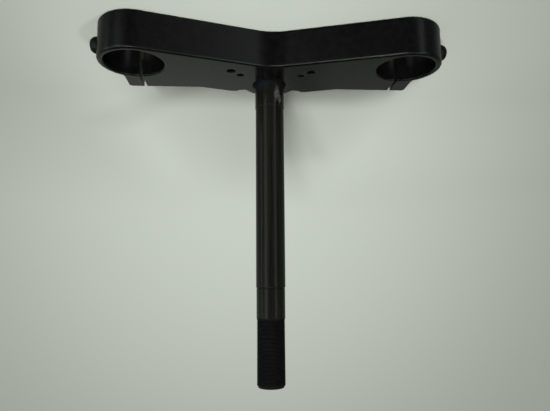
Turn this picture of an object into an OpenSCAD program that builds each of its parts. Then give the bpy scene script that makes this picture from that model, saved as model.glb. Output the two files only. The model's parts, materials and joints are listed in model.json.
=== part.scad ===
// Lower steering clamp of a motorcycle: a machined plate that grips two fork tubes,
// with the steering stem pressed into it.
// The origin lies on the steering axis, level with the plate's top face. +Z runs up the
// stem, -Y is the front, where the fork tubes are, and +X is the rider's left.

/* [Plate] */
// Thickness of the plate
plate_t = 32.6; // [26:0.1:40]
// Distance between the two fork bores, centre to centre
fork_spacing = 228; // [206:1:250]
// How far the fork bores lie in front of the steering axis
fork_offset = 41; // [36:1:52]
// Diameter of each fork bore
fork_d = 49; // [43:0.5:52]
// Wall of metal round the outside of each fork bore
fork_wall = 5; // [4:0.1:8]
// Chamfer on the rims of the fork bores
fork_chamfer = 0.9; // [0.2:0.1:1.5]
// Angle between each front flank and the line across the two bores
flank_angle = 16.3; // [12:0.1:21]
// Radius of the hollow in the middle of the front edge
vee_r = 46; // [20:1:70]
// Radius of the rounding on the front and end edges, above and below
edge_r = 2.4; // [0.6:0.2:3.6]
// How far the straight rear edge lies behind the steering axis
rear_y = 6.6; // [5:0.1:9]

/* [Rear boss and stops] */
// Wall of metal behind the stem's root
boss_wall = 9.4; // [7:0.1:12]
// Where each steering stop starts to rise from the rear edge, sideways from the axis
stop_foot_x = 62.5; // [52:0.5:74]
// Outer corner of each stop's end, sideways from the axis
stop_end_x = 34.8; // [32:0.1:40]
// How far each stop's end lies behind the axis
stop_end_y = 14.9; // [13:0.1:17]
// Radius of the scoop between each stop and the boss
scoop_r = 8.5; // [7.5:0.1:9.5]
// Sideways place of each scoop's centre
scoop_x = 23.8; // [22:0.1:25]
// How far each scoop's floor lies behind the axis
scoop_floor_y = 11.7; // [10:0.1:12.6]

/* [Pinch ends] */
// Width of the slit that lets each fork bore close
slit_w = 2.6; // [1.6:0.1:4]
// How far each slit lies nearer the stem than the middle of its fork bore
slit_in = 0.9; // [0:0.1:2]
// Distance from the centre of a fork bore to the outer side of its ear
ear_x = 13.4; // [13:0.1:17]
// Radius of the ear's rear corner
ear_corner_r = 3; // [1:0.5:5]
// Distance from the rear edge to the axis of the pinch bolt
pinch_inset = 10.5; // [10:0.5:13]
// Diameter of the pinch bolt's shank
pinch_d = 8; // [6:0.5:8]
// Length of the pinch bolt under its head
pinch_len = 25; // [20:1:35]
// Diameter of the pinch bolt's head
pinch_head_d = 13; // [11:0.5:13.5]
// Height of the pinch bolt's head
pinch_head_h = 8; // [6:0.5:8.5]
// Width across the flats of the pinch bolt's hexagon socket
pinch_socket_w = 6; // [4:0.5:7]
// Depth of the pinch bolt's socket
pinch_socket_h = 4; // [3:0.5:4.5]
// How far the pinch bolt's head lies below the ear's outer side
pinch_sink = 0.6; // [0.2:0.1:1.5]
// Free play all round the pinch bolt's head
pinch_head_gap = 0.75; // [0.3:0.05:1]
// Free play all round the shank where it passes through the ear
pinch_ear_gap = 0.25; // [0.1:0.05:0.4]
// Bare hole left past the pinch bolt's tip
pinch_tip_room = 3; // [1:0.5:5]

/* [Side screws] */
// How far below the plate's top face the side screws lie
side_drop = 15.2; // [12:0.1:17]
// Diameter of each side screw's shank
side_d = 8; // [5:0.5:8]
// Length of a side screw under its head
side_len = 3.9; // [2.5:0.1:4]
// Diameter of the side screw's domed head
side_head_d = 14.4; // [12:0.2:15]
// Height of the side screw's domed head
side_head_h = 6.6; // [4.4:0.1:7]
// Height of the straight rim under the dome
side_rim_h = 1.6; // [1:0.1:2]
// Diameter of the flat on top of the dome
side_flat_d = 9; // [8:0.1:10]
// Width across the flats of the side screw's hexagon socket
side_socket_w = 5; // [4:0.5:6]
// Depth of the side screw's socket
side_socket_h = 3; // [2:0.5:3.5]
// Depth of the flat that is cut in the end wall for the head
side_seat_depth = 1; // [0.6:0.1:1.1]
// Free play all round the head in that flat
side_seat_gap = 0.6; // [0.3:0.1:1]

/* [Steering stem] */
// Diameter of the stem's root, pressed into the plate
root_d = 30; // [28:0.5:32]
// Diameter of the flange that stops the root from pulling through
flange_d = 36; // [34:0.5:40]
// Thickness of that flange
flange_h = 4; // [3:0.5:6]
// Chamfer where the root and its bore meet at the top face
root_chamfer = 0.9; // [0.3:0.1:1.2]
// Diameter of the seat for the lower bearing
seat_d = 26.2; // [25.8:0.1:27]
// Length of the seat above the plate
seat_len = 23; // [16:1:28]
// Diameter of the long shaft
shaft_d = 25.4; // [25.2:0.1:25.6]
// Height of the shaft's upper end above the plate
shaft_top = 183.5; // [150:0.5:195]
// Diameter of the neck between the shaft and the thread
neck_d = 24.7; // [24.5:0.1:25]
// Height of the thread's lower end above the plate
thread_foot = 209.5; // [203:0.5:220]
// Outside diameter of the thread
thread_d = 24.2; // [23.6:0.1:24.4]
// Height of the stem's tip above the plate
stem_top = 266; // [240:1:290]
// Length of the chamfer on the stem's tip
tip_len = 2.4; // [1:0.1:4]
// How much that chamfer narrows the tip, measured on the radius
tip_in = 1.3; // [0.5:0.1:2.5]
// Length of the small chamfer at each step of the stem
step_chamfer = 0.4; // [0.1:0.05:0.6]
// Diameter of the centre hole in each end of the stem
centre_d = 8; // [5:0.5:10]
// Diameter of the pilot drilling at the bottom of each centre hole
pilot_d = 3.2; // [2:0.2:4]
// Depth of that pilot drilling
pilot_len = 5; // [3:0.5:8]
// Angle of the cone between the centre hole and its pilot drilling
centre_angle = 60; // [50:5:90]

/* [Small holes in the top face] */
// Diameter of the outer pair
outer_hole_d = 7.8; // [5:0.2:9]
// Distance of the outer pair from the axis, sideways
outer_hole_x = 34.4; // [31:0.1:44]
// How far the outer pair lies in front of the axis
outer_hole_y = 30.6; // [26:0.1:33]
// Depth of the outer pair
outer_hole_depth = 20; // [10:1:22]
// Diameter of the inner pair
inner_hole_d = 6.4; // [4:0.2:7]
// Distance of the inner pair from the axis, sideways
inner_hole_x = 26.5; // [24:0.1:28]
// How far the inner pair lies in front of the axis
inner_hole_y = 22.3; // [19:0.1:23]
// Depth of the inner pair
inner_hole_depth = 16; // [8:1:20]
// Angle of the drill's point
drill_angle = 118; // [90:1:140]

/* [Fits] */
// Free play all round a pressed root
press_gap = 0.02; // [0.01:0.01:0.05]
// Free play all round a screwed shank
thread_gap = 0.03; // [0.02:0.01:0.1]

/* [Hidden] */
$fn = 96;

// Cutters run past the faces that they cut by this much
past = 1;
// Round and flat stretches of the outline cut into each other by this much, instead of only
// touching, so that they meet in definite lines
bite = 0.03;
// The rounding of an edge cuts into the faces beside it by this much, for the same reason
round_bite = 0.01;
// The cutters that round the edges run on past those lines, as a length and as an angle
run_out = 5;
run_out_angle = 6;
// The rounding of each end stops this far short of the ear
ear_stop_angle = 2;
plate_black = [0.07, 0.07, 0.07];
stem_black = [0.11, 0.11, 0.10];
screw_black = [0.04, 0.04, 0.04];

// Places in the plan of the plate, worked out for the left half
bore_x = fork_spacing / 2;
bore_y = -fork_offset;
bore_r = fork_d / 2;
end_r = bore_r + fork_wall;
flank_x = bore_x - (end_r - bite) * sin(flank_angle);
flank_y = bore_y - (end_r - bite) * cos(flank_angle);
vee_y = flank_y + flank_x * tan(flank_angle);
vee_centre_y = vee_y - (vee_r - bite) / cos(flank_angle);
vee_foot_x = (vee_r - bite) * sin(flank_angle);
vee_foot_y = vee_centre_y + (vee_r - bite) * cos(flank_angle);
flank_len = (flank_x - vee_foot_x) / cos(flank_angle);
slit_x = bore_x - slit_in;
ear_side_x = bore_x + ear_x;
ear_meets_end = acos(ear_x / end_r);
root_r = root_d / 2;
boss_r = root_r + boss_wall;
scoop_y = scoop_floor_y + scoop_r;

// Places of the screws
mid_z = -plate_t / 2;
side_z = -side_drop;
pinch_y = rear_y - pinch_inset;
pinch_seat_x = ear_side_x - pinch_sink - pinch_head_h;
pinch_tip_x = pinch_seat_x - pinch_len;
side_seat_x = bore_x + end_r - side_seat_depth;

// The steering axis is the plane of symmetry, so each shape on the left has its twin
module both_sides() {
    children();
    mirror([1, 0, 0]) children();
}

// A hexagon by its width across the flats
module hexagon(width) {
    sides = 6;
    circle(d = width / cos(180 / sides), $fn = sides);
}

// The left half of the plate seen from above, before its front flank is cut straight
module half_plan() {
    polygon([
        [0, vee_foot_y - past],
        [flank_x - bite / 2 * sin(flank_angle), flank_y - bite / 2 * cos(flank_angle)],
        [bore_x, bore_y],
        [ear_side_x, bore_y],
        [ear_side_x, rear_y - ear_corner_r],
        [ear_side_x - ear_corner_r, rear_y],
        [stop_foot_x, rear_y],
        [stop_end_x, stop_end_y],
        [0, stop_end_y]
    ]);
    translate([bore_x, bore_y]) circle(r = end_r);
    translate([ear_side_x - ear_corner_r, rear_y - ear_corner_r]) circle(r = ear_corner_r);
}

// What the left flank's cut takes off in front of the plate
module flank_waste() {
    end_x = flank_x + run_out * cos(flank_angle);
    end_y = flank_y - run_out * sin(flank_angle);
    polygon([
        [0, vee_foot_y],
        [vee_foot_x, vee_foot_y],
        [end_x, end_y],
        [end_x, end_y - end_r],
        [0, end_y - end_r]
    ]);
}

// The whole plate seen from above, without its bores
module plan() {
    difference() {
        both_sides() half_plan();
        both_sides() flank_waste();
        both_sides() translate([scoop_x, scoop_y]) circle(r = scoop_r);
        translate([0, vee_centre_y]) circle(r = vee_r);
    }
    circle(r = boss_r);
}

// What is cut from a square edge to round it. The edge is at the origin, with the metal
// towards -X and -Y.
module edge_waste() {
    difference() {
        translate([-edge_r, -edge_r]) square(edge_r + past);
        translate([-edge_r, -edge_r]) circle(r = edge_r + round_bite);
    }
}

// Rounds the upper edge of the end wall and of the straight flank, on the left
module side_edge_cuts() {
    translate([bore_x, bore_y, 0])
        rotate([0, 0, -90 - flank_angle])
            rotate_extrude(angle = 90 + flank_angle + ear_meets_end - ear_stop_angle)
                translate([end_r, 0]) edge_waste();
    translate([vee_foot_x, vee_foot_y, 0])
        rotate([0, 0, -flank_angle])
            rotate([90, 0, 90])
                linear_extrude(flank_len + run_out) mirror([1, 0]) edge_waste();
}

// Rounds the upper edge all along the front
module upper_edge_cuts() {
    both_sides() side_edge_cuts();
    translate([0, vee_centre_y, 0])
        rotate([0, 0, 90 - flank_angle - run_out_angle])
            rotate_extrude(angle = 2 * (flank_angle + run_out_angle))
                translate([vee_r, 0]) mirror([1, 0]) edge_waste();
}

module lower_edge_cuts() {
    translate([0, 0, -plate_t]) mirror([0, 0, 1]) upper_edge_cuts();
}

// A round cutter through the plate that leaves a chamfer on both rims
module chamfered_bore(radius, chamfer) {
    rotate_extrude()
        polygon([
            [0, past],
            [radius + chamfer + past, past],
            [radius, -chamfer],
            [radius, chamfer - plate_t],
            [radius + chamfer + past, -plate_t - past],
            [0, -plate_t - past]
        ]);
}

// A drilled hole that goes down from the origin and ends in the drill's point
module drilled(diameter, depth) {
    rotate_extrude()
        polygon([
            [0, past],
            [diameter / 2, past],
            [diameter / 2, -depth],
            [0, -depth - diameter / 2 / tan(drill_angle / 2)]
        ]);
}

// The bore for the stem's root, with room for the flange below and a chamfer above
module root_bore() {
    hole_r = root_r + press_gap;
    rotate_extrude()
        polygon([
            [0, past],
            [hole_r + root_chamfer + past, past],
            [hole_r, -root_chamfer],
            [hole_r, flange_h - plate_t],
            [flange_d / 2 + press_gap, flange_h - plate_t],
            [flange_d / 2 + press_gap, -plate_t - past],
            [0, -plate_t - past]
        ]);
}

// Clearance in the ear, recess for the head and threaded hole in the web, on the left
module pinch_cuts() {
    translate([0, pinch_y, mid_z]) rotate([0, 90, 0]) {
        translate([0, 0, pinch_seat_x])
            cylinder(r = pinch_head_d / 2 + pinch_head_gap, h = pinch_head_h + pinch_sink + past);
        translate([0, 0, slit_x])
            cylinder(r = pinch_d / 2 + pinch_ear_gap, h = pinch_seat_x + past - slit_x);
        translate([0, 0, pinch_tip_x - pinch_tip_room])
            cylinder(r = pinch_d / 2 + thread_gap, h = slit_x - pinch_tip_x + pinch_tip_room);
    }
}

// Threaded hole and flat seat for the left side screw
module side_cuts() {
    translate([0, bore_y, side_z]) rotate([0, 90, 0]) {
        translate([0, 0, bore_x])
            cylinder(r = side_d / 2 + thread_gap, h = end_r + past);
        translate([0, 0, side_seat_x])
            cylinder(r = side_head_d / 2 + side_seat_gap, h = side_seat_depth + past);
    }
}

module clamp_plate() {
    color(plate_black)
        difference() {
            translate([0, 0, -plate_t]) linear_extrude(plate_t) plan();
            upper_edge_cuts();
            lower_edge_cuts();
            root_bore();
            both_sides() translate([bore_x, bore_y, 0]) chamfered_bore(bore_r, fork_chamfer);
            both_sides() translate([slit_x - slit_w / 2, bore_y, -plate_t - past])
                cube([slit_w, rear_y - bore_y + past, plate_t + 2 * past]);
            both_sides() pinch_cuts();
            both_sides() side_cuts();
            both_sides() translate([outer_hole_x, -outer_hole_y, 0])
                drilled(outer_hole_d, outer_hole_depth);
            both_sides() translate([inner_hole_x, -inner_hole_y, 0])
                drilled(inner_hole_d, inner_hole_depth);
        }
}

// The stem is turned from one bar, with a centre hole in each end: a cone with a pilot below
module steering_stem() {
    seat_r = seat_d / 2;
    shaft_r = shaft_d / 2;
    neck_r = neck_d / 2;
    thread_r = thread_d / 2;
    centre_depth = (centre_d - pilot_d) / 2 / tan(centre_angle / 2);
    color(stem_black)
        rotate_extrude()
            polygon([
                [0, pilot_len + centre_depth - plate_t],
                [pilot_d / 2, pilot_len + centre_depth - plate_t],
                [pilot_d / 2, centre_depth - plate_t],
                [centre_d / 2, -plate_t],
                [flange_d / 2 - step_chamfer, -plate_t],
                [flange_d / 2, step_chamfer - plate_t],
                [flange_d / 2, flange_h - plate_t],
                [root_r, flange_h - plate_t],
                [root_r, -root_chamfer],
                [root_r - root_chamfer, 0],
                [seat_r, 0],
                [seat_r, seat_len - step_chamfer],
                [shaft_r, seat_len],
                [shaft_r, shaft_top - step_chamfer],
                [neck_r, shaft_top],
                [neck_r, thread_foot],
                [thread_r, thread_foot],
                [thread_r, stem_top - tip_len],
                [thread_r - tip_in, stem_top],
                [centre_d / 2, stem_top],
                [pilot_d / 2, stem_top - centre_depth],
                [pilot_d / 2, stem_top - centre_depth - pilot_len],
                [0, stem_top - centre_depth - pilot_len]
            ]);
}

// A socket head cap bolt with the underside of its head at the origin and its tip at -Z
module pinch_bolt() {
    head_r = pinch_head_d / 2;
    color(screw_black)
        difference() {
            rotate_extrude()
                polygon([
                    [0, -pinch_len],
                    [pinch_d / 2 - step_chamfer, -pinch_len],
                    [pinch_d / 2, step_chamfer - pinch_len],
                    [pinch_d / 2, 0],
                    [head_r, 0],
                    [head_r, pinch_head_h - step_chamfer],
                    [head_r - step_chamfer, pinch_head_h],
                    [0, pinch_head_h]
                ]);
            translate([0, 0, pinch_head_h - pinch_socket_h])
                linear_extrude(pinch_socket_h + past) hexagon(pinch_socket_w);
        }
}

// A domed screw with the underside of its head at the origin and its tip at -Z. The dome is
// part of a ball that passes through the rim and the edge of the top flat.
module side_screw() {
    rim_r = side_head_d / 2;
    flat_r = side_flat_d / 2;
    dome_h = side_head_h - side_rim_h;
    ball_z = (dome_h * dome_h + flat_r * flat_r - rim_r * rim_r) / (2 * dome_h);
    ball_r = sqrt(rim_r * rim_r + ball_z * ball_z);
    color(screw_black)
        difference() {
            union() {
                translate([0, 0, -side_len]) cylinder(r = side_d / 2, h = side_len + past);
                intersection() {
                    cylinder(r = rim_r, h = side_head_h);
                    translate([0, 0, side_rim_h + ball_z]) sphere(r = ball_r);
                }
            }
            translate([0, 0, side_head_h - side_socket_h])
                linear_extrude(side_socket_h + past) hexagon(side_socket_w);
        }
}

module pinch_bolt_left() {
    translate([pinch_seat_x, pinch_y, mid_z]) rotate([0, 90, 0]) pinch_bolt();
}

module pinch_bolt_right() {
    mirror([1, 0, 0]) pinch_bolt_left();
}

module side_screw_left() {
    translate([side_seat_x, bore_y, side_z]) rotate([0, 90, 0]) side_screw();
}

module side_screw_right() {
    mirror([1, 0, 0]) side_screw_left();
}

clamp_plate();
steering_stem();
pinch_bolt_left();
pinch_bolt_right();
side_screw_left();
side_screw_right();
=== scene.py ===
"""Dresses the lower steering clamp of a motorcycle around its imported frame.

The plate, the turned stem with its fine thread and the screws get their surfaces and their
finishes here, and the studio and the camera show them as the photograph does. A length whose
name ends in _m is in metres, and a name that ends in _per_m is a count for each metre. All
other lengths are millimetres, and turn into metres where a mesh or a material is made. Angles
are in degrees.
"""

import json
import logging
import math
from dataclasses import dataclass
from enum import Enum
from typing import Optional, Sequence

import bpy
import numpy as np
from mathutils import Matrix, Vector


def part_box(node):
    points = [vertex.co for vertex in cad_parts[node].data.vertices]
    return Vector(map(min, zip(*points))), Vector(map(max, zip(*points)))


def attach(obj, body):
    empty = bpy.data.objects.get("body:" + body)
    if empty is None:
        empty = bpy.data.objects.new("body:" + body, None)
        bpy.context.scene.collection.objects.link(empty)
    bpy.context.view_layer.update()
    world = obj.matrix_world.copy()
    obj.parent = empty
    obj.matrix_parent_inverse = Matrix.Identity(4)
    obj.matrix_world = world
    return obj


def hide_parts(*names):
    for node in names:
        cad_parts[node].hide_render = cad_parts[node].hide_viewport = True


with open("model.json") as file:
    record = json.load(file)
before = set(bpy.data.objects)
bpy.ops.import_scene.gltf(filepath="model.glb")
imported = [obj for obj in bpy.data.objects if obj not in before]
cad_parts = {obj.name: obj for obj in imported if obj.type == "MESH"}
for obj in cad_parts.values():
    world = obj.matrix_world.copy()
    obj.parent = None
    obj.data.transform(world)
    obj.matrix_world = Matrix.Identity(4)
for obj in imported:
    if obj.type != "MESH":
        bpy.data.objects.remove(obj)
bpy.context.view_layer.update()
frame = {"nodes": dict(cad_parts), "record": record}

log = logging.getLogger("clamp")

MM = 0.001
BODY = "root"
PLATE_NODE = "clamp_plate"
STEM_NODE = "steering_stem"
SLIT_AT = 113.1         # how far the middle of each fork slit lies from the steering axis
SHARP_DEGREES = 28.0    # faces that meet at more than this keep a sharp edge
PARALLEL = 1e-6         # a cross product that is shorter than this has no direction
PALE_TINT = (0.93, 1.0, 0.88)

Colour = tuple[float, float, float, float]
Tint = tuple[float, float, float]
Range = tuple[float, float]
Socket = bpy.types.NodeSocket


class Side(Enum):
    """The two sides of the steering axis, as the sign of X."""

    LEFT = 1
    RIGHT = -1

    @property
    def word(self) -> str:
        """The side's name as the frame's nodes have it."""
        return self.name.lower()


def mount(name: str) -> dict:
    """Finds one of the record's mounts.

    Args:
        name: The mount's name.

    Returns:
        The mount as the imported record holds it.
    """
    return next(m for m in frame["record"]["mounts"] if m["name"] == name)


def mount_size(name: str, size: str) -> float:
    """One of a mount's sizes, such as r_mm or length_mm."""
    return float(mount(name)["dims"][size])


def box_mm(node: str) -> tuple[np.ndarray, np.ndarray]:
    """The lowest and highest corners of a CAD node in millimetres."""
    low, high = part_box(node)
    return np.array(low) / MM, np.array(high) / MM


# Meshes


def grid_faces(rows: int, columns: int) -> np.ndarray:
    """Numbers the quads of a grid whose columns run round and meet.

    Quad (i, j) joins the points (i, j), (i, j + 1), (i + 1, j + 1) and (i + 1, j), with the
    column counted modulo the number of columns.

    Args:
        rows: How many rows of points there are.
        columns: How many points lie in each row.

    Returns:
        An array with four point numbers for each quad.
    """
    i, j = np.meshgrid(np.arange(rows - 1), np.arange(columns), indexing="ij")
    k = (j + 1) % columns
    quads = [i * columns + j, i * columns + k, (i + 1) * columns + k, (i + 1) * columns + j]
    return np.stack(quads, axis=-1).reshape(-1, 4)


def turned_mesh(name: str, radii: np.ndarray, heights: np.ndarray) -> bpy.types.Mesh:
    """Makes a closed surface that goes round the Z axis.

    Point (i, j) lies at the angle a = 2 pi j / columns: x = r cos a, y = r sin a, z = h, where
    r and h are the tables' values at (i, j). A single point on the axis closes each end.

    Args:
        name: The mesh's name.
        radii: Radius of each point, one row for each ring, in millimetres.
        heights: Height of each point, of the same shape or one column wide.

    Returns:
        The mesh, in metres, with its faces outwards when the rows go upwards outside.
    """
    rows, columns = radii.shape
    heights = np.broadcast_to(heights, radii.shape)
    angle = np.arange(columns) * 2 * np.pi / columns
    ring = np.stack([radii * np.cos(angle), radii * np.sin(angle), heights], axis=-1)
    poles = np.array([[0.0, 0.0, heights[0].mean()], [0.0, 0.0, heights[-1].mean()]])
    points = np.concatenate([ring.reshape(-1, 3), poles]) * MM
    first, last = rows * columns, rows * columns + 1
    here = np.arange(columns)
    after = (here + 1) % columns
    top = (rows - 1) * columns
    fans = np.concatenate([
        np.stack([after, here, np.full(columns, first)], axis=-1),
        np.stack([top + here, top + after, np.full(columns, last)], axis=-1),
    ])
    mesh = bpy.data.meshes.new(name)
    faces = grid_faces(rows, columns).tolist() + fans.tolist()
    mesh.from_pydata(points.tolist(), [], faces)
    mesh.validate()
    return mesh


def settle(mesh: bpy.types.Mesh) -> None:
    """Shades a mesh smooth, with sharp edges where its faces meet at a wide angle.

    Args:
        mesh: The mesh to shade.
    """
    mesh.shade_smooth()
    mesh.set_sharp_from_angle(angle=math.radians(SHARP_DEGREES))
    mesh.update()


def place(mesh: bpy.types.Mesh, axis: np.ndarray, at: np.ndarray) -> None:
    """Turns a mesh's +Z to an axis and moves its origin, in the mesh itself.

    Args:
        mesh: The mesh, made round +Z at the origin.
        axis: Where its +Z should point, as a unit vector.
        at: Where its origin should lie, in millimetres.
    """
    side = np.cross([0.0, 0.0, 1.0], axis)
    if np.linalg.norm(side) < PARALLEL:
        side = np.array([1.0, 0.0, 0.0])
    side = side / np.linalg.norm(side)
    other = np.cross(axis, side)
    turn = Matrix(np.column_stack([side, other, axis]).tolist()).to_4x4()
    mesh.transform(Matrix.Translation((np.asarray(at) * MM).tolist()) @ turn)


def add_piece(mesh: bpy.types.Mesh, material: bpy.types.Material,
              nodes: Sequence[str]) -> bpy.types.Object:
    """Puts a mesh into the scene as a piece that stands for CAD nodes.

    Args:
        mesh: The piece's mesh, already at its place.
        material: Its finish.
        nodes: The CAD nodes that it replaces.

    Returns:
        The new object.
    """
    piece = bpy.data.objects.new(mesh.name, mesh)
    bpy.context.scene.collection.objects.link(piece)
    mesh.materials.append(material)
    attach(piece, BODY)
    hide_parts(*nodes)
    log.info("%s: %d faces", piece.name, len(mesh.polygons))
    return piece


# Node trees


@dataclass(frozen=True)
class Pattern:
    """A noise pattern and the two of its values between which it goes from one level to another.

    Its scale is in turns for each metre of the vector that it reads.
    """

    scale: float
    detail: float
    roughness: float
    low: float
    high: float
    to_low: float = 0.0
    to_high: float = 1.0
    smooth: bool = True


class Graph:
    """Builds a node tree with short calls."""

    def __init__(self, tree: bpy.types.NodeTree) -> None:
        """Empties a tree and keeps it."""
        self.tree = tree
        tree.nodes.clear()

    def add(self, kind: str, inputs: Optional[dict] = None, **settings: object) -> bpy.types.Node:
        """Adds a node.

        Args:
            kind: The node's type, without the words ShaderNode in front.
            inputs: Values or sockets for its inputs, by name or number.
            settings: The node's own properties.

        Returns:
            The node.
        """
        node = self.tree.nodes.new("ShaderNode" + kind)
        for key, value in settings.items():
            setattr(node, key, value)
        for key, value in (inputs or {}).items():
            if isinstance(value, Socket):
                self.tree.links.new(value, node.inputs[key])
            else:
                node.inputs[key].default_value = value
        return node

    def math(self, operation: str, *values: object) -> Socket:
        """Adds a Math node and returns its result."""
        return self.add("Math", dict(enumerate(values)), operation=operation).outputs[0]

    def product(self, first: object, *others: object) -> Socket:
        """Multiplies two or more values, one after the other.

        Args:
            first: The first value or socket.
            others: The other ones.

        Returns:
            The product's socket.
        """
        for other in others:
            first = self.math("MULTIPLY", first, other)
        return first

    def split(self, vector: Socket) -> tuple[Socket, Socket, Socket]:
        """A vector's three parts."""
        return tuple(self.add("SeparateXYZ", {0: vector}).outputs)

    def length(self, vector: Socket) -> Socket:
        """A vector's length."""
        return self.add("VectorMath", {0: vector}, operation="LENGTH").outputs["Value"]

    def scaled(self, vector: object, level: object) -> Socket:
        """A vector or colour times a number."""
        return self.add("VectorMath", {0: vector, "Scale": level},
                        operation="SCALE").outputs["Vector"]

    def stretched(self, vector: Socket, scale: tuple[float, float, float],
                  degrees: float = 0.0) -> Socket:
        """A vector turned about Z and scaled along each axis.

        Args:
            vector: The vector's socket.
            scale: The scale along X, Y and Z.
            degrees: The turn.

        Returns:
            The new vector's socket.
        """
        turned = (0.0, 0.0, math.radians(degrees))
        return self.add("Mapping", {"Vector": vector, "Scale": scale,
                                    "Rotation": turned}).outputs[0]

    def span(self, value: object, low: float, high: float, to_low: float = 0.0,
             to_high: float = 1.0, smooth: bool = True) -> Socket:
        """Maps a range of values to another one and holds it outside.

        Args:
            value: The socket that is mapped.
            low: The value that becomes to_low.
            high: The value that becomes to_high.
            to_low: Result at low.
            to_high: Result at high.
            smooth: Whether the way between them is eased at both ends.

        Returns:
            The mapped value's socket.
        """
        kind = "SMOOTHSTEP" if smooth else "LINEAR"
        node = self.add("MapRange", {0: value, 1: low, 2: high, 3: to_low, 4: to_high},
                        interpolation_type=kind)
        return node.outputs[0]

    def fall(self, value: object, low: float, high: float) -> Socket:
        """Goes from one at low to nothing at high."""
        return self.span(value, low, high, 1.0, 0.0)

    def blend(self, share: object, first: object, second: object) -> Socket:
        """Mixes two colours by a share of the second."""
        # A Mix node numbers its colours 6, 7 and 2 among the sockets of all its kinds.
        node = self.add("Mix", {0: share, 6: first, 7: second}, data_type="RGBA")
        return node.outputs[2]

    def noise(self, vector: Socket, scale: float, detail: float,
              roughness: float = 0.5) -> Socket:
        """A noise pattern's value, in turns per metre of its vector."""
        return self.add("TexNoise", {"Vector": vector, "Scale": scale, "Detail": detail,
                                     "Roughness": roughness}).outputs[0]

    def pattern(self, vector: Socket, pattern: Pattern) -> Socket:
        """A noise pattern between its two levels."""
        value = self.noise(vector, pattern.scale, pattern.detail, pattern.roughness)
        return self.span(value, pattern.low, pattern.high, pattern.to_low, pattern.to_high,
                         pattern.smooth)


# Finishes


@dataclass(frozen=True)
class Finish:
    """What the black finishes share: colours, gloss, grain and worn edges."""

    name: str
    dark: Colour
    light: Colour
    worn: Colour
    specular: float
    roughness: float
    roughness_play: float
    blotches: Pattern
    grain_per_m: float
    grain_height: float
    edge: float
    # Painted shade: the dark colour for slits, grooves and the stem's root.
    cut: Colour = (0.0006, 0.0006, 0.0006, 1.0)
    cut_roughness: float = 0.4
    grain_detail: float = 2.0
    edge_samples: int = 12
    edge_alike: Range = (0.75, 0.98)
    edge_breaks: Pattern = Pattern(900.0, 3.0, 0.5, 0.38, 0.62)

    def start(self) -> tuple[bpy.types.Material, Graph, Socket]:
        """Makes an empty material.

        Returns:
            The material, its graph and the Object coordinates' socket.
        """
        material = bpy.data.materials.new(self.name)
        material.use_nodes = True
        graph = Graph(material.node_tree)
        return material, graph, graph.add("TexCoord").outputs["Object"]

    def rounded(self, graph: Graph) -> Socket:
        """The surface's normal, rounded over the sharp edges' width."""
        return graph.add("Bevel", {"Radius": self.edge * MM},
                         samples=self.edge_samples).outputs[0]

    def wear(self, graph: Graph, spot: Socket, rounded: Socket) -> Socket:
        """Broken wear along the sharp edges, from 0 to 1.

        The rounded normal leaves the true one only near a sharp edge. The edge is where the
        two normals' dot product is small, and a noise breaks it up.

        Args:
            graph: The material's tree.
            spot: Object coordinates.
            rounded: The rounded normal.

        Returns:
            The wear's socket.
        """
        true = graph.add("NewGeometry").outputs["Normal"]
        alike = graph.add("VectorMath", {0: rounded, 1: true},
                          operation="DOT_PRODUCT").outputs["Value"]
        return graph.product(graph.fall(alike, *self.edge_alike),
                             graph.pattern(spot, self.edge_breaks))

    def gloss(self, graph: Graph, cloud: Socket) -> Socket:
        """The roughness, which grows with the blotches by as much as its play."""
        return graph.span(cloud, 0.0, 1.0, self.roughness, self.roughness + self.roughness_play)

    def grain(self, graph: Graph, spot: Socket) -> Socket:
        """The fine grain's height, from 0 to 1."""
        return graph.noise(spot, self.grain_per_m, self.grain_detail)

    def close(self, graph: Graph, colour: Socket, roughness: Socket, height: Socket,
              rounded: Socket) -> None:
        """Adds the bump, the shader and the output.

        Args:
            graph: The material's tree.
            colour: Base colour.
            roughness: Roughness.
            height: The grain, from 0 to 1, which stands as high as the finish's grain height.
            rounded: The rounded normal, which the grain bends.
        """
        normal = graph.add("Bump", {"Height": height, "Distance": self.grain_height * MM,
                                    "Strength": 1.0, "Normal": rounded}).outputs[0]
        shader = graph.add("BsdfPrincipled", {
            "Base Color": colour, "Roughness": roughness, "Normal": normal,
            "Specular IOR Level": self.specular})
        graph.add("OutputMaterial", {"Surface": shader.outputs[0]})


@dataclass(frozen=True)
class Hairs:
    """Parallel hair lines: which way they run, and how fine they are along and across."""

    degrees: float
    along_per_m: float
    across_per_m: float


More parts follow.
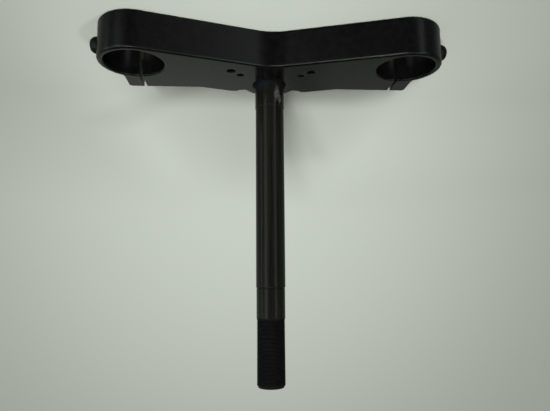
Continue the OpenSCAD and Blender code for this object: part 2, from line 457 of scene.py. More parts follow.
@dataclass(frozen=True)
class PlateFinish(Finish):
    """Satin black on milled metal: cloudy gloss, faint scratches, dull saw cuts with painted
    shade.
    """

    top_edge: Range = (-0.5, -0.1)
    side_roughness: float = 0.29
    side_play: float = 0.04
    haze: Colour = (0.0040, 0.0042, 0.0037, 1.0)
    film: Pattern = Pattern(95.0, 5.0, 0.62, 0.38, 0.68)
    hairs: tuple[Hairs, ...] = (Hairs(24.0, 30.0, 2400.0), Hairs(-51.0, 26.0, 1900.0))
    hair_lines: Pattern = Pattern(1.0, 1.0, 0.5, 0.66, 0.74)
    hair_colour: float = 0.3
    hair_depth: float = 0.6
    mark_roughness: float = 0.15
    # Where the right slit's walls and the ring round the stem's root take painted shade.
    slit_half: float = 1.5
    slit_edge: float = 0.1
    slit_from_y: float = -20.0
    ring_radius: float = 15.8
    ring_edge: float = 0.4
    ring_depth: float = 2.0

    def scratches(self, graph: Graph, spot: Socket, top: Socket) -> Socket:
        """Faint crossing hair lines on the top face, where stretched noises peak.

        Args:
            graph: The material's tree.
            spot: Object coordinates.
            top: One on the flat top face.

        Returns:
            A socket from 0 to 1.
        """
        lines = [
            graph.pattern(
                graph.stretched(spot, (h.along_per_m, h.across_per_m, h.along_per_m), h.degrees),
                self.hair_lines)
            for h in self.hairs]
        return graph.product(graph.math("MAXIMUM", *lines), top)

    def cuts(self, graph: Graph, spot: Socket) -> Socket:
        """Where the surface is dull and painted dark as shade: the right slit's walls and the ring
        at the root.

        The left slit's wall keeps its gloss and gets no painted shade, because the camera sees the
        pale sheet in it.

        Args:
            graph: The material's tree.
            spot: Object coordinates.

        Returns:
            A socket from 0 to 1.
        """
        x, y, z = graph.split(spot)
        off = graph.math("ABSOLUTE", graph.math(
            "SUBTRACT", graph.math("ABSOLUTE", x), SLIT_AT * MM))
        near = graph.span(off, (self.slit_half - self.slit_edge) * MM, self.slit_half * MM,
                          1.0, 0.0, False)
        slit = graph.product(near, graph.math("GREATER_THAN", y, self.slit_from_y * MM),
                             graph.math("LESS_THAN", x, 0.0))
        out = graph.length(graph.add("CombineXYZ", {0: x, 1: y}).outputs[0])
        ring = graph.product(
            graph.fall(out, (self.ring_radius - self.ring_edge) * MM, self.ring_radius * MM),
            graph.math("GREATER_THAN", z, -self.ring_depth * MM))
        return graph.math("MAXIMUM", slit, ring)

    def make(self) -> bpy.types.Material:
        """Builds the plate's material.

        Returns:
            The material.
        """
        material, graph, spot = self.start()
        cloud = graph.pattern(spot, self.blotches)
        rounded = self.rounded(graph)
        low, high = self.top_edge
        top = graph.span(graph.split(spot)[2], low * MM, high * MM)
        wear = self.wear(graph, spot, rounded)
        scratch = self.scratches(graph, spot, top)
        cut = self.cuts(graph, spot)
        film = graph.product(graph.pattern(spot, self.film), top)
        marks = graph.math("MAXIMUM", wear, graph.product(scratch, self.hair_colour))
        colour = graph.blend(cloud, self.dark, self.light)
        colour = graph.blend(film, colour, self.haze)
        colour = graph.blend(marks, colour, self.worn)
        # Painted shade in the right slit and in the ring round the stem's root.
        colour = graph.blend(cut, colour, self.cut)
        base = graph.span(top, 0.0, 1.0, self.side_roughness, self.roughness)
        play = graph.span(top, 0.0, 1.0, self.side_play, self.roughness_play)
        rough = graph.math("ADD", base, graph.product(cloud, play))
        rough = graph.math("ADD", rough, graph.product(marks, self.mark_roughness))
        rough = graph.math("MAXIMUM", rough, graph.product(cut, self.cut_roughness))
        height = graph.math("SUBTRACT", self.grain(graph, spot),
                            graph.product(scratch, self.hair_depth))
        self.close(graph, colour, rough, height, rounded)
        return material


@dataclass(frozen=True)
class Rub:
    """A rubbed streak on the stem: where it is round the axis and along it, and how large.

    The streak leans by so many degrees round the axis for each millimetre along it.
    """

    azimuth: float
    height: float
    half_width: float
    half_height: float
    lean: float


@dataclass(frozen=True)
class TurnedFinish(Finish):
    """Black oxide on turned steel: rings, rubbed streaks, dull thread, a painted bluish highlight
    on the foot and painted shade at the root and groove.
    """

    rings_per_m: float = 4000.0
    rings_detail: float = 3.0
    rings_roughness: float = 0.7
    rings_stretch: float = 0.02
    drawn_stretch: float = 0.03
    thread_from: float = 209.5
    thread_edge: float = 1.0
    thread_colour: Colour = (0.0010, 0.0010, 0.0010, 1.0)
    dull_roughness: float = 0.8
    # Painted shade at the root and in part of the neck's groove.
    root_edge: Range = (0.1, 0.4)
    groove: Range = (183.0, 184.4)
    groove_shade_share: float = 0.55
    # Painted bluish highlight on the foot's left half.
    painted_sheen: Colour = (0.0062, 0.0070, 0.0098, 1.0)
    painted_sheen_share: float = 0.8
    painted_sheen_height: Range = (1.0, 12.0)
    painted_sheen_side: Range = (-3.0, 3.0)
    worn_share: float = 0.5
    rubbed: Colour = (0.056, 0.056, 0.055, 1.0)
    rubs: tuple[Rub, ...] = (
        Rub(-123.0, 12.5, 12.0, 10.0, -1.0), Rub(-110.0, 13.5, 7.0, 6.0, 0.0))
    rub_reach: Range = (0.35, 1.05)
    rub_roughness: float = 0.15
    rub_rags: Pattern = Pattern(700.0, 4.0, 0.7, 0.3, 0.7, -0.35, 0.35, False)
    rub_patches: Pattern = Pattern(420.0, 2.0, 0.5, 0.38, 0.62, 0.35, 1.4)

    def streaks(self, graph: Graph, spot: Socket) -> Socket:
        """The rubbed streaks.

        Each is a soft ellipse: one less the length of the distances round and along the axis,
        each in half widths. One noise breaks its edge, and another makes it patchy.

        Args:
            graph: The material's tree.
            spot: Object coordinates.

        Returns:
            A socket with nothing off the streaks and about one on them.
        """
        x, y, z = graph.split(spot)
        angle = graph.math("ARCTAN2", y, x)
        ragged = graph.pattern(spot, self.rub_rags)
        total: object = 0.0
        for rub in self.rubs:
            along = graph.math("SUBTRACT", z, rub.height * MM)
            lean = graph.product(along, math.radians(rub.lean) / MM)
            middle = graph.math("ADD", lean, math.radians(rub.azimuth))
            across = graph.math("DIVIDE", graph.math("SUBTRACT", angle, middle),
                                math.radians(rub.half_width))
            upward = graph.math("DIVIDE", along, rub.half_height * MM)
            out = graph.length(graph.add("CombineXYZ", {0: across, 1: upward}).outputs[0])
            reach = graph.math("ADD", out, ragged)
            total = graph.math("MAXIMUM", total, graph.fall(reach, *self.rub_reach))
        return graph.product(total, graph.pattern(spot, self.rub_patches))

    def blue(self, graph: Graph, x: Socket, z: Socket) -> Socket:
        """How much painted bluish highlight the foot takes: most at the bottom, and on the left
        half only.

        Args:
            graph: The material's tree.
            x: Object coordinate X.
            z: Object coordinate Z.

        Returns:
            A socket from 0 to the blued share.
        """
        low, high = self.painted_sheen_height
        right, left = self.painted_sheen_side
        return graph.product(graph.span(z, low * MM, high * MM, self.painted_sheen_share, 0.0),
                             graph.span(x, right * MM, left * MM))

    def painted_shading(self, graph: Graph, z: Socket) -> Socket:
        """Where the stem is dull and painted dark as shade: all of the hidden root, and part of
        the neck's groove.

        Args:
            graph: The material's tree.
            z: Object coordinate Z.

        Returns:
            A socket from 0 to 1.
        """
        low, high = self.root_edge
        root = graph.span(z, low * MM, high * MM, 1.0, 0.0, False)
        start, end = self.groove
        groove = graph.product(graph.math("GREATER_THAN", z, start * MM),
                               graph.math("LESS_THAN", z, end * MM), self.groove_shade_share)
        return graph.math("MAXIMUM", root, groove)

    def make(self) -> bpy.types.Material:
        """Builds the stem's material.

        Returns:
            The material.
        """
        material, graph, spot = self.start()
        x, _, z = graph.split(spot)
        flat = self.rings_stretch
        rings = graph.noise(graph.stretched(spot, (flat, flat, 1.0)), self.rings_per_m,
                            self.rings_detail, self.rings_roughness)
        cloud = graph.pattern(graph.stretched(spot, (1.0, 1.0, self.drawn_stretch)),
                              self.blotches)
        thread = graph.span(z, (self.thread_from - self.thread_edge) * MM,
                            self.thread_from * MM, smooth=False)
        painted_shading = self.painted_shading(graph, z)
        streak = self.streaks(graph, spot)
        rounded = self.rounded(graph)
        wear = graph.product(self.wear(graph, spot, rounded), self.worn_share)
        colour = graph.blend(cloud, self.dark, self.light)
        # Painted bluish highlight on the foot's left half.
        colour = graph.blend(self.blue(graph, x, z), colour, self.painted_sheen)
        colour = graph.blend(streak, colour, self.rubbed)
        colour = graph.blend(wear, colour, self.worn)
        colour = graph.blend(thread, colour, self.thread_colour)
        # Painted shade at the root and in the neck's groove.
        colour = graph.blend(painted_shading, colour, self.cut)
        rough = graph.math("ADD", self.gloss(graph, cloud),
                           graph.product(streak, self.rub_roughness))
        dull = graph.math("MAXIMUM", thread, painted_shading)
        rough = graph.math("MAXIMUM", rough, graph.product(dull, self.dull_roughness))
        self.close(graph, colour, rough, rings, rounded)
        return material


@dataclass(frozen=True)
class ScrewFinish(Finish):
    """Black oxide on small rolled screws, painted light grey as a highlight where a slit shows the
    shank.
    """

    # Painted highlight: light grey where a slit shows the shank.
    painted_shading: Colour = (0.11, 0.11, 0.105, 1.0)
    slit_half: float = 1.8

    def make(self) -> bpy.types.Material:
        """Builds the screws' material.

        Returns:
            The material.
        """
        material, graph, spot = self.start()
        cloud = graph.pattern(spot, self.blotches)
        rounded = self.rounded(graph)
        off = graph.math("ABSOLUTE", graph.split(spot)[0])
        shown = graph.math("COMPARE", off, SLIT_AT * MM, self.slit_half * MM)
        colour = graph.blend(cloud, self.dark, self.light)
        colour = graph.blend(self.wear(graph, spot, rounded), colour, self.worn)
        # Painted highlight: light grey where the shank shows in a slit.
        colour = graph.blend(shown, colour, self.painted_shading)
        self.close(graph, colour, self.gloss(graph, cloud), self.grain(graph, spot), rounded)
        return material


PLATE = PlateFinish(
    name="plate_satin_black",
    dark=(0.0010, 0.0011, 0.0011, 1.0),
    light=(0.0021, 0.0023, 0.0021, 1.0),
    worn=(0.014, 0.014, 0.013, 1.0),
    specular=0.125, roughness=0.18, roughness_play=0.07,
    blotches=Pattern(210.0, 4.0, 0.6, 0.35, 0.65),
    grain_per_m=4200.0, grain_height=0.0016, edge=1.0)
STEM = TurnedFinish(
    name="stem_black_oxide",
    dark=(0.0029, 0.0029, 0.0021, 1.0),
    light=(0.0058, 0.0059, 0.0040, 1.0),
    worn=(0.030, 0.029, 0.027, 1.0),
    specular=0.11, roughness=0.24, roughness_play=0.08,
    blotches=Pattern(320.0, 4.0, 0.6, 0.35, 0.65),
    grain_per_m=4000.0, grain_height=0.002, edge=0.4)
SCREW = ScrewFinish(
    name="screw_black_oxide",
    dark=(0.0012, 0.0012, 0.0012, 1.0),
    light=(0.0024, 0.0024, 0.0023, 1.0),
    worn=(0.012, 0.012, 0.012, 1.0),
    specular=0.09, roughness=0.45, roughness_play=0.1,
    blotches=Pattern(500.0, 4.0, 0.6, 0.35, 0.65),
    grain_per_m=6000.0, grain_height=0.003, edge=0.3)


# The clamp's own pieces


@dataclass
class ClampPlate:
    """The milled plate, whose solid has the right shape and keeps it."""

    node: str = PLATE_NODE

    def dress(self, finish: PlateFinish) -> None:
        """Gives the CAD node its finish.

        Args:
            finish: The plate's finish.
        """
        solid = frame["nodes"][self.node]
        material = finish.make()
        for slot in solid.material_slots:
            slot.material = material
        log.info("%s: CAD solid with %s", self.node, material.name)


@dataclass
class SteeringStem:
    """The turned stem with its fine thread, as one closed surface.

    The radii and lengths of the three fits come from the frame's mounts, and the ends from the
    node's box.
    """

    node: str = STEM_NODE
    columns: int = 128
    root_radius: float = 15.0
    flange_radius: float = 18.0
    flange_height: float = 4.0
    root_chamfer: float = 0.9
    neck_radius: float = 12.35
    step_chamfer: float = 0.4
    groove_depth: float = 0.25
    groove_length: float = 0.7
    tip_in: float = 1.3
    tip_height: float = 2.4
    centre_radius: float = 4.0
    pilot_radius: float = 1.6
    pilot_length: float = 5.0
    centre_half_angle: float = 30.0
    thread_pitch: float = 1.058
    thread_depth: float = 0.6
    thread_steps: int = 10
    thread_fade: float = 1.5

    def __post_init__(self) -> None:
        """Reads the fits from the frame."""
        low, high = box_mm(self.node)
        self.bottom, self.top = low[2], high[2]
        self.seat_radius = mount_size("bearing_seat", "r_mm")
        self.shaft_radius = mount_size("stem_shaft", "r_mm")
        self.thread_radius = mount_size("stem_thread", "r_mm")
        self.seat_end = mount_size("bearing_seat", "length_mm")
        shaft_length = mount_size("stem_shaft", "length_mm")
        self.shaft_end = self.seat_end + self.step_chamfer + shaft_length
        self.thread_end = self.top - self.tip_height
        self.thread_foot = self.thread_end - mount_size("stem_thread", "length_mm")

    def profile(self) -> tuple[np.ndarray, np.ndarray]:
        """The outline from the centre hole below to the one above, with a plain thread.

        Returns:
            The radius and the height of each point.
        """
        cone = (self.centre_radius - self.pilot_radius) / math.tan(
            math.radians(self.centre_half_angle))
        step = self.step_chamfer
        groove_radius = self.neck_radius - self.groove_depth
        groove_end = self.shaft_end + step + self.groove_length
        points = [
            (self.pilot_radius, self.bottom + cone + self.pilot_length),
            (self.pilot_radius, self.bottom + cone),
            (self.centre_radius, self.bottom),
            (self.flange_radius - step, self.bottom),
            (self.flange_radius, self.bottom + step),
            (self.flange_radius, self.bottom + self.flange_height),
            (self.root_radius, self.bottom + self.flange_height),
            (self.root_radius, -self.root_chamfer),
            (self.root_radius - self.root_chamfer, 0.0),
            (self.seat_radius, 0.0),
            (self.seat_radius, self.seat_end),
            (self.shaft_radius, self.seat_end + step),
            (self.shaft_radius, self.shaft_end),
            (groove_radius, self.shaft_end + step),
            (groove_radius, groove_end),
            (self.neck_radius, groove_end + self.groove_depth),
            (self.neck_radius, self.thread_foot),
            (self.thread_radius, self.thread_foot),
            (self.thread_radius, self.thread_end),
            (self.thread_radius - self.tip_in, self.top),
            (self.centre_radius, self.top),
            (self.pilot_radius, self.top - cone),
            (self.pilot_radius, self.top - cone - self.pilot_length),
        ]
        table = np.array(points)
        return table[:, 0], table[:, 1]

    def rings(self) -> tuple[np.ndarray, np.ndarray]:
        """The whole surface as a table of radii and one of heights.

        On the thread, the radius at height h and angle a is the outside radius less the depth
        times a triangle wave of h / pitch - a / (2 pi), and the depth grows from nothing over
        the fade at both ends.

        Returns:
            Radii, one row for each ring, and heights, one column wide.
        """
        radius, height = self.profile()
        # The second point at the thread's foot is its own. Its turns go in after that one.
        foot = int(np.flatnonzero(height >= self.thread_foot)[1])
        count = int((self.thread_end - self.thread_foot) / self.thread_pitch * self.thread_steps)
        along = np.linspace(self.thread_foot, self.thread_end, count + 1)[1:-1]
        turn = np.arange(self.columns) / self.columns
        phase = along[:, None] / self.thread_pitch - turn[None, :]
        wave = 1.0 - np.abs(2.0 * (phase - np.floor(phase)) - 1.0)
        ends = np.minimum(along - self.thread_foot, self.thread_end - along)
        fade = np.clip(ends / self.thread_fade, 0.0, 1.0)[:, None]
        thread = self.thread_radius - self.thread_depth * wave * fade
        below = np.repeat(radius[: foot + 1, None], self.columns, axis=1)
        above = np.repeat(radius[foot + 1:, None], self.columns, axis=1)
        radii = np.concatenate([below, thread, above])
        heights = np.concatenate([height[: foot + 1], along, height[foot + 1:]])[:, None]
        return radii, heights

    def dress(self, finish: TurnedFinish) -> None:
        """Builds the stem in place of its solid.

        Args:
            finish: The stem's finish.
        """
        mesh = turned_mesh("stem_turned", *self.rings())
        settle(mesh)
        add_piece(mesh, finish.make(), [self.node])


@dataclass
class SocketScrew:
    """A screw with a hexagon socket, made round +Z with the underside of its head at zero."""

    head_radius: float
    head_height: float
    shank_radius: float
    shank_length: float
    socket_width: float
    socket_depth: float
    columns: int = 96
    edge: float = 0.4
    base_chamfer: float = 0.2
    socket_bevel: float = 0.25
    drill_share: float = 0.5
    drill_depth: float = 0.3

    def angles(self) -> np.ndarray:
        """The angle of each column, in radians."""
        return np.arange(self.columns) * 2 * np.pi / self.columns

    def hexagon(self) -> np.ndarray:
        """The socket's radius at each column.

        It is half the socket's width over the cosine of the angle from the nearest flat's
        middle.

        Returns:
            One radius for each column.
        """
        sixth = np.pi / 3
        off = (self.angles() + sixth / 2) % sixth - sixth / 2
        return self.socket_width / 2 / np.cos(off)

    def head_outline(self) -> tuple[np.ndarray, np.ndarray]:
        """The head's outline from its underside to the socket's rim, without the socket."""
        raise NotImplementedError

    def rim_play(self, heights: np.ndarray) -> np.ndarray:
        """How far the head's side steps in at each point: nothing on a plain head."""
        return np.zeros((len(heights), self.columns))

    def rings(self) -> tuple[np.ndarray, np.ndarray]:
        """The whole screw as a table of radii and one of heights.

        The shank's rings are round. On the flat top the rings go from round to the hexagon,
        which then goes down as the socket's wall.

        Returns:
            Radii, one row for each ring, and heights, one column wide.
        """
        shank_r = np.array([self.shank_radius - self.edge, self.shank_radius, self.shank_radius])
        shank_z = np.array([-self.shank_length, self.edge - self.shank_length, 0.0])
        head_r, head_z = self.head_outline()
        radii = np.repeat(np.concatenate([shank_r, head_r])[:, None], self.columns, axis=1)
        radii[len(shank_r):] -= self.rim_play(head_z)
        bevel = self.socket_bevel
        hexagon = self.hexagon()
        floor = self.head_height - self.socket_depth
        socket_r = np.stack([hexagon + bevel, hexagon, hexagon, hexagon * self.drill_share])
        socket_z = np.array([self.head_height, self.head_height - bevel, floor,
                             floor - self.drill_depth])
        radii = np.concatenate([radii, socket_r])
        heights = np.concatenate([shank_z, head_z, socket_z])[:, None]
        return radii, heights


@dataclass
class CapBolt(SocketScrew):
    """A cap bolt with a cylindrical knurled head."""

    ridges: int = 32
    ridge_depth: float = 0.22
    knurl_from: float = 0.1
    knurl_gap: float = 0.01
    side_share: float = 0.8
    bend_points: int = 6

    def head_outline(self) -> tuple[np.ndarray, np.ndarray]:
        """A cylinder whose upper edge is a quarter circle of the edge's radius.

        Returns:
            The radius and the height of each point.
        """
        bend = np.linspace(0.0, np.pi / 2, self.bend_points)
        curve_r = self.head_radius - self.edge + self.edge * np.cos(bend)
        curve_z = self.head_height - self.edge + self.edge * np.sin(bend)
        side_r = [self.head_radius - self.base_chamfer, self.head_radius, self.head_radius]
        side_z = [0.0, self.base_chamfer, self.head_height * self.side_share]
        return np.concatenate([side_r, curve_r]), np.concatenate([side_z, curve_z])

    def rim_play(self, heights: np.ndarray) -> np.ndarray:
        """The knurl: half of one less the cosine of the angle times the number of ridges.

        Args:
            heights: Height of each of the head's rings.

        Returns:
            How far each point steps in, which is nothing off the straight side.
        """
        wave = 0.5 - 0.5 * np.cos(self.angles() * self.ridges)
        top = self.head_height - self.edge - self.knurl_gap
        side = (heights > self.knurl_from) & (heights < top)
        return side[:, None] * self.ridge_depth * wave[None, :]


@dataclass
class DomedScrew(SocketScrew):
    """A screw with a short straight rim under a domed head."""

    rim_height: float = 1.6
    flat_radius: float = 4.5
    dome_points: int = 14

    def head_outline(self) -> tuple[np.ndarray, np.ndarray]:
        """The rim, then the part of a ball between the rim's edge and the flat's edge.

        Returns:
            The radius and the height of each point.
        """
        dome = self.head_height - self.rim_height
        ball_z = (dome**2 + self.flat_radius**2 - self.head_radius**2) / (2 * dome)
        ball_r = math.hypot(self.head_radius, ball_z)
        start = math.atan2(-ball_z, self.head_radius)
        end = math.atan2(dome - ball_z, self.flat_radius)
        angle = np.linspace(start, end, self.dome_points)
        curve_r = ball_r * np.cos(angle)
        curve_z = self.rim_height + ball_z + ball_r * np.sin(angle)
        side_r = [self.head_radius - self.base_chamfer, self.head_radius]
        side_z = [0.0, self.base_chamfer]
        return np.concatenate([side_r, curve_r]), np.concatenate([side_z, curve_z])


@dataclass(frozen=True)
class ScrewKind:
    """One kind of screw: its nodes' name without the side, its class and its fixed sizes."""

    node: str
    shape: type[SocketScrew]
    head_height: float
    shank_radius: float
    socket_width: float
    socket_depth: float


@dataclass
class Screws:
    """The pinch bolts in the ears and the domed screws in the end walls."""

    kinds: tuple[ScrewKind, ...] = (
        ScrewKind("pinch_bolt", CapBolt, 8.0, 4.0, 6.0, 4.0),
        ScrewKind("side_screw", DomedScrew, 6.6, 4.0, 5.0, 3.0))

    def put(self, kind: ScrewKind, side: Side, material: bpy.types.Material) -> None:
        """Builds one screw where its solid is, as long and as wide as the solid.

        Args:
            kind: The kind of screw.
            side: The side of the clamp.
            material: Its finish.
        """
        node = f"{kind.node}_{side.word}"
        low, high = box_mm(node)
        size = high - low
        middle = (low + high) / 2
        outer = high[0] if side is Side.LEFT else low[0]
        at = np.array([outer - side.value * kind.head_height, middle[1], middle[2]])
        screw = kind.shape(size[1] / 2, kind.head_height, kind.shank_radius,
                           size[0] - kind.head_height, kind.socket_width, kind.socket_depth)
        mesh = turned_mesh(node + "_dressed", *screw.rings())
        settle(mesh)
        place(mesh, np.array([float(side.value), 0.0, 0.0]), at)
        add_piece(mesh, material, [node])

    def dress(self, finish: ScrewFinish) -> None:
        """Builds all the screws.

        Args:
            finish: The screws' finish.
        """
        material = finish.make()
        for side in Side:
            for kind in self.kinds:
                self.put(kind, side, material)


# The studio


@dataclass
class PhotoCamera:
    """The photograph's camera, found from the clamp's own edges.

    The photograph looks at the clamp from the front and from above the plate, with the stem
    towards the bottom of the picture, so the camera is rolled by half a turn.
    """

    lens: float = 32.53
    sensor: float = 36.0
    at: tuple[float, float, float] = (24.80, -434.93, 176.99)
    tilt: float = 8.527
    turn: float = 3.816
    roll: float = -0.436
    seen_m: Range = (0.01, 50.0)

    def axes(self) -> np.ndarray:
        """The camera's right, up and backward directions.

        Level and unturned, the camera looks along +Y with -Z upwards in the picture. It is
        tilted towards -Z, then turned about Z and rolled about its line of sight.

        Returns:
            The three unit vectors, as columns.
        """
        tilt, turn, roll = (math.radians(v) for v in (self.tilt, self.turn, self.roll))
        ahead = np.array([0.0, math.cos(tilt), -math.sin(tilt)])
        up = np.array([0.0, -math.sin(tilt), -math.cos(tilt)])
        right = np.array([-1.0, 0.0, 0.0])
        c, s = math.cos(turn), math.sin(turn)
        about_z = np.array([[c, -s, 0.0], [s, c, 0.0], [0.0, 0.0, 1.0]])
        ahead, up, right = about_z @ ahead, about_z @ up, about_z @ right
        c, s = math.cos(roll), math.sin(roll)
        return np.column_stack([c * right + s * up, c * up - s * right, -ahead])

    def place(self) -> None:
        """Creates the camera and makes it the scene's."""
        data = bpy.data.cameras.new("photo_camera")
        data.sensor_fit = "HORIZONTAL"
        data.sensor_width = self.sensor
        data.lens = self.lens
        data.clip_start, data.clip_end = self.seen_m
        camera = bpy.data.objects.new("photo_camera", data)
        bpy.context.scene.collection.objects.link(camera)
        turned = Matrix(self.axes().tolist()).to_4x4()
        camera.matrix_world = Matrix.Translation([v * MM for v in self.at]) @ turned
        bpy.context.scene.camera = camera


@dataclass(frozen=True)
class Strip:
    """A tall bright strip of the room that gloss shows, such as a window.

    Its low share is what is left of it in directions that point steeply down.
    """

    azimuth: float
    half_width: float
    level: float
    low_share: float


@dataclass(frozen=True)
class Lamp:
    """A soft rectangular lamp that faces the clamp from its azimuth and elevation."""

    name: str
    azimuth: float
    elevation: float
    width_m: float
    height_m: float
    watts: float
    glossy: bool = True
    distance_m: float = 3.0

    def hang(self) -> None:
        """Puts the lamp into the scene, at its distance from the origin."""
        data = bpy.data.lights.new(self.name, "AREA")
        data.shape = "RECTANGLE"
        data.size, data.size_y = self.width_m, self.height_m
        data.energy = self.watts
        lamp = bpy.data.objects.new(self.name, data)
        lamp.visible_glossy = self.glossy
        bpy.context.scene.collection.objects.link(lamp)
        across, up = math.radians(self.azimuth), math.radians(self.elevation)
        away = np.array([math.cos(up) * math.cos(across), math.cos(up) * math.sin(across),
                         math.sin(up)])
        side = np.cross([0.0, 0.0, 1.0], away)
        side = side / np.linalg.norm(side)
        turned = np.column_stack([side, np.cross(away, side), away])
        here = Matrix.Translation((away * self.distance_m).tolist())
        lamp.matrix_world = here @ Matrix(turned.tolist()).to_4x4()


@dataclass
class Surround:
    """The pale surround that the camera sees, brightest in one direction."""

    tint: Tint = PALE_TINT
    brightest: float = 0.62
    bright_way: tuple[float, float, float] = (-0.008, 0.978, -0.209)
    falloff: float = 2.7
    least: float = 0.52
    least_soft: float = 0.25

    def tone(self, graph: Graph, way: Socket) -> Socket:
        """The surround's colour in a direction.

        The level is the direction's dot product with the brightest direction to a power, and
        softly kept above the least share of it.

        Args:
            graph: The tree to build in.
            way: Socket of a unit vector.

        Returns:
            The colour's socket.
        """
        near = graph.add("VectorMath", {0: way, 1: self.bright_way},
                         operation="DOT_PRODUCT").outputs["Value"]
        level = graph.math("POWER", graph.math("MAXIMUM", near, 0.0), self.falloff)
        level = graph.math("SMOOTH_MAX", level, self.least, self.least_soft)
        return graph.scaled(self.tint, graph.product(level, self.brightest))


@dataclass
class Room:
    """What gloss shows: a dim room with bright strips in front, the pale sheet behind.

    Ranges that are named low, rise, end or fall are of the direction's Z, side of its X and
    front of its Y.
    """

    tint: Tint = (0.94, 1.0, 0.96)
    strips: tuple[Strip, ...] = (
        Strip(-11.0, 5.0, 3.0, 0.0), Strip(-50.0, 8.5, 3.8, 0.0), Strip(-128.0, 4.5, 4.0, 0.75))
    strip_low: Range = (-0.44, -0.38)
    strip_rise: Range = (0.22, 0.34)
    high_share: float = 3.0
    strip_end: Range = (0.55, 0.68)
    wall_level: float = 0.12
    wall_fall: Range = (0.1, 0.5)
    wall_high_share: float = 0.2
    sheet_tint: Tint = PALE_TINT
    sheet_levels: Range = (0.325, 0.55)
    sheet_side: Range = (-0.25, 0.1)
    sheet_rise: Range = (-0.35, -0.1)
    sheet_end: Range = (0.55, 0.75)
    sheet_high_share: float = 0.1
    stem_shadow: float = 97.0
    shadow_edge: Range = (1.0, 3.5)
    shadow_share: float = 0.4
    front: Range = (0.0, 0.2)

    def apart(self, graph: Graph, angle: Socket, degrees: float) -> Socket:
        """How far a direction's angle about Z is from another one, in radians."""
        return graph.math("ABSOLUTE", graph.math("SUBTRACT", angle, math.radians(degrees)))

    def windows(self, graph: Graph, angle: Socket, z: Socket) -> Socket:
        """The strips and the walls between them.

        Each strip's light falls from its middle to twice its half width. The sum is stronger
        above the horizon and ends further up.

        Args:
            graph: The tree to build in.
            angle: The direction's angle about Z.
            z: The direction's Z.

        Returns:
            The level's socket.
        """
        total: object = 0.0
        for strip in self.strips:
            lit = graph.span(self.apart(graph, angle, strip.azimuth), 0.0,
                             math.radians(strip.half_width) * 2, strip.level, 0.0)
            left = graph.span(z, *self.strip_low, strip.low_share, 1.0)
            total = graph.math("ADD", total, graph.product(lit, left))
        total = graph.product(total, graph.span(z, *self.strip_rise, 1.0, self.high_share),
                              graph.fall(z, *self.strip_end))
        walls = graph.span(z, *self.wall_fall, self.wall_level,
                           self.wall_high_share * self.wall_level)
        return graph.math("ADD", total, walls)

    def sheet(self, graph: Graph, angle: Socket, x: Socket, z: Socket) -> Socket:
        """The pale sheet: brighter to the left and near the horizon, dim at the zenith.

        A narrow band in it is as dim as the shadow share, where the stem's shadow lies.

        Args:
            graph: The tree to build in.
            angle: The direction's angle about Z.
            x: The direction's X.
            z: The direction's Z.

        Returns:
            The level's socket.
        """
        side = graph.product(graph.span(x, *self.sheet_side), graph.span(z, *self.sheet_rise))
        level = graph.span(side, 0.0, 1.0, *self.sheet_levels, False)
        start, end = (math.radians(v) for v in self.shadow_edge)
        shadow = graph.span(self.apart(graph, angle, self.stem_shadow), start, end,
                            self.shadow_share, 1.0)
        return graph.product(
            level, graph.span(z, *self.sheet_end, 1.0, self.sheet_high_share), shadow)

    def show(self, graph: Graph, way: Socket) -> Socket:
        """The room's colour in a direction.

        Args:
            graph: The tree to build in.
            way: Socket of a unit vector.

        Returns:
            The colour's socket.
        """
        x, y, z = graph.split(way)
        angle = graph.math("ARCTAN2", y, x)
        windows = graph.scaled(self.tint, self.windows(graph, angle, z))
        sheet = graph.scaled(self.sheet_tint, self.sheet(graph, angle, x, z))
        return graph.blend(graph.span(y, *self.front), windows, sheet)


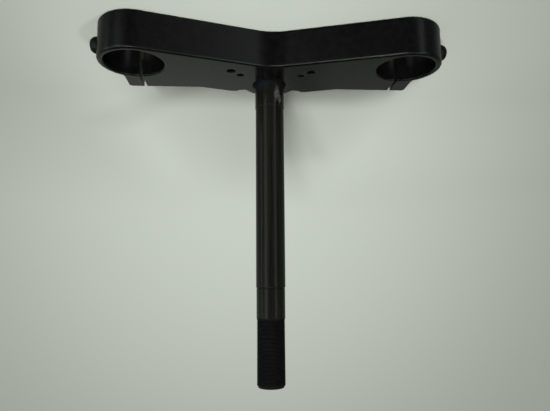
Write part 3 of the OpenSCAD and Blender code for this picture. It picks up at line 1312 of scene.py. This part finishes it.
@dataclass
class Floor:
    """The pale floor under the plate, which fades into the surround far out.

    Near the clamp it is lit and takes shadows. On top of these, its paper has a painted shadow
    close behind the plate and a painted shadow pool behind the stem. It also has painted light in
    front of the clamp, beside it and far behind it. Ranges are in metres.
    """

    half_width_m: float = 20.0
    # Painted contact shadow close behind the plate.
    contact_start_m: Range = (0.0, 0.03)
    contact_end_m: Range = (0.105, 0.165)
    contact_side_m: Range = (0.085, 0.175)
    contact_across_m: Range = (-0.03, 0.03)
    contact_depths: Range = (0.32, 0.24)
    # Painted light: far behind the clamp, and near it in front and beside it.
    far_m: Range = (0.1, 1.1)
    far_painted_light: float = 1.75
    near_painted_light: float = 0.15
    near_end_m: Range = (0.1, 1.0)
    near_left_m: Range = (0.12, 0.27)
    beside_m: Range = (0.1, 0.18)
    ahead_m: Range = (-0.03, 0.02)
    # Painted shadow pool behind the stem.
    shadow_pool_depth: float = 0.11
    shadow_pool_start_m: Range = (0.03, 0.1)
    shadow_pool_end_m: Range = (0.3, 1.1)
    shadow_pool_side_m: Range = (0.02, 0.13)
    glow_m: Range = (0.3, 1.2)

    def shade(self, graph: Graph, spot: Socket) -> Socket:
        """What is kept of the paper's colour at a place, with painted shadow and painted light.

        It is the product of the painted contact shadow, the painted light that grows with distance
        behind the clamp, the painted light near it, and the painted shadow pool behind the stem.

        Args:
            graph: The tree to build in.
            spot: Object coordinates.

        Returns:
            The share's socket, which is 1 on plain paper.
        """
        x, y, _ = graph.split(spot)
        aside = graph.math("ABSOLUTE", x)
        close = graph.product(graph.span(y, *self.contact_start_m),
                              graph.fall(y, *self.contact_end_m),
                              graph.fall(aside, *self.contact_side_m))
        depth = graph.span(x, *self.contact_across_m, *self.contact_depths)
        contact = graph.math("SUBTRACT", 1.0, graph.product(close, depth))
        far = graph.span(y, *self.far_m, 1.0, self.far_painted_light, False)
        outside = graph.math("MAXIMUM", graph.span(aside, *self.beside_m),
                             graph.fall(y, *self.ahead_m))
        near = graph.product(outside, graph.fall(y, *self.near_end_m),
                             graph.fall(x, *self.near_left_m), self.near_painted_light)
        shadow_pool = graph.product(graph.span(y, *self.shadow_pool_start_m), graph.fall(y, *self.shadow_pool_end_m),
                             graph.fall(aside, *self.shadow_pool_side_m), self.shadow_pool_depth)
        return graph.product(contact, far, graph.math("ADD", 1.0, near),
                             graph.math("SUBTRACT", 1.0, shadow_pool))

    def paper(self, surround: Surround, eye: Sequence[float]) -> bpy.types.Material:
        """Builds the floor's material.

        Its tone at each point is the surround's in the direction from one fixed place, the one
        where the photograph was taken, so the two meet without an edge. Gloss shows the room
        through the floor, and a view from below looks through it.

        Args:
            surround: The pale surround.
            eye: The place where the photograph was taken, in metres.

        Returns:
            The material.
        """
        material = bpy.data.materials.new("floor_paper")
        material.use_nodes = True
        graph = Graph(material.node_tree)
        spot = graph.add("TexCoord").outputs["Object"]
        toward = graph.add("VectorMath", {0: spot, 1: eye}, operation="SUBTRACT").outputs[0]
        way = graph.add("VectorMath", {0: toward}, operation="NORMALIZE").outputs[0]
        tone = surround.tone(graph, way)
        lit = graph.add("BsdfDiffuse", {"Color": graph.scaled(tone, self.shade(graph, spot))})
        glow = graph.add("Emission", {"Color": tone, "Strength": 1.0})
        path = graph.add("LightPath")
        camera = path.outputs["Is Camera Ray"]
        far = graph.product(camera, graph.span(graph.length(spot), *self.glow_m))
        seen = graph.add("MixShader", {0: far, 1: lit.outputs[0], 2: glow.outputs[0]})
        below = graph.product(camera, graph.add("NewGeometry").outputs["Backfacing"])
        through = graph.math("MAXIMUM", path.outputs["Is Glossy Ray"], below)
        clear = graph.add("BsdfTransparent")
        surface = graph.add("MixShader", {0: through, 1: seen.outputs[0], 2: clear.outputs[0]})
        graph.add("OutputMaterial", {"Surface": surface.outputs[0]})
        return material

    def lay(self, surround: Surround, eye: Sequence[float]) -> None:
        """Lays the floor under the plate.

        Args:
            surround: The pale surround.
            eye: The place where the photograph was taken, in metres.
        """
        low, _ = box_mm(PLATE_NODE)
        half, height = self.half_width_m, low[2] * MM
        corners = [(-half, -half, height), (half, -half, height), (half, half, height),
                   (-half, half, height)]
        mesh = bpy.data.meshes.new("floor")
        mesh.from_pydata(corners, [], [(0, 1, 2, 3)])
        plane = bpy.data.objects.new("floor", mesh)
        bpy.context.scene.collection.objects.link(plane)
        mesh.materials.append(self.paper(surround, eye))


@dataclass
class Studio:
    """A pale floor, a pale surround and soft light."""

    camera: PhotoCamera
    soft_level: float = 0.21
    lamps: tuple[Lamp, ...] = (
        Lamp("window_lamp", -79.0, 40.0, 0.5, 0.3, 48.0),
        Lamp("side_lamp", -133.0, 48.0, 0.4, 0.3, 16.0),
        Lamp("end_lamp", -7.0, 24.0, 0.2, 0.35, 1.0),
        Lamp("low_lamp", -82.0, 18.0, 0.25, 0.3, 74.0, glossy=False))

    def world(self, surround: Surround, room: Room) -> None:
        """Shows camera rays the pale surround, gloss the room, and all else an even light.

        Args:
            surround: The pale surround.
            room: The room.
        """
        world = bpy.data.worlds.new("studio")
        bpy.context.scene.world = world
        world.use_nodes = True
        graph = Graph(world.node_tree)
        way = graph.add("TexCoord").outputs["Generated"]
        plain = graph.add("Background", {"Color": (1.0, 1.0, 1.0, 1.0),
                                         "Strength": self.soft_level})
        glossy = graph.add("Background", {"Color": room.show(graph, way), "Strength": 1.0})
        pale = graph.add("Background", {"Color": surround.tone(graph, way), "Strength": 1.0})
        path = graph.add("LightPath")
        shiny = graph.math("MAXIMUM", path.outputs["Is Glossy Ray"],
                           path.outputs["Is Transmission Ray"])
        mixed = graph.add("MixShader", {0: shiny, 1: plain.outputs[0], 2: glossy.outputs[0]})
        final = graph.add("MixShader", {0: path.outputs["Is Camera Ray"], 1: mixed.outputs[0],
                                        2: pale.outputs[0]})
        graph.add("OutputWorld", {"Surface": final.outputs[0]})

    def build(self) -> None:
        """Builds the camera, the world, the floor and the lamps."""
        surround = Surround()
        self.camera.place()
        self.world(surround, Room())
        Floor().lay(surround, [v * MM for v in self.camera.at])
        for lamp in self.lamps:
            lamp.hang()
        bpy.context.scene.view_settings.view_transform = "Standard"
        log.info("studio: %d lamps", len(self.lamps))


def main() -> None:
    """Builds the studio, then each piece of the clamp."""
    logging.basicConfig(level=logging.INFO, format="%(name)s: %(message)s")
    Studio(PhotoCamera()).build()
    ClampPlate().dress(PLATE)
    SteeringStem().dress(STEM)
    Screws().dress(SCREW)


if __name__ == "__main__":
    main()
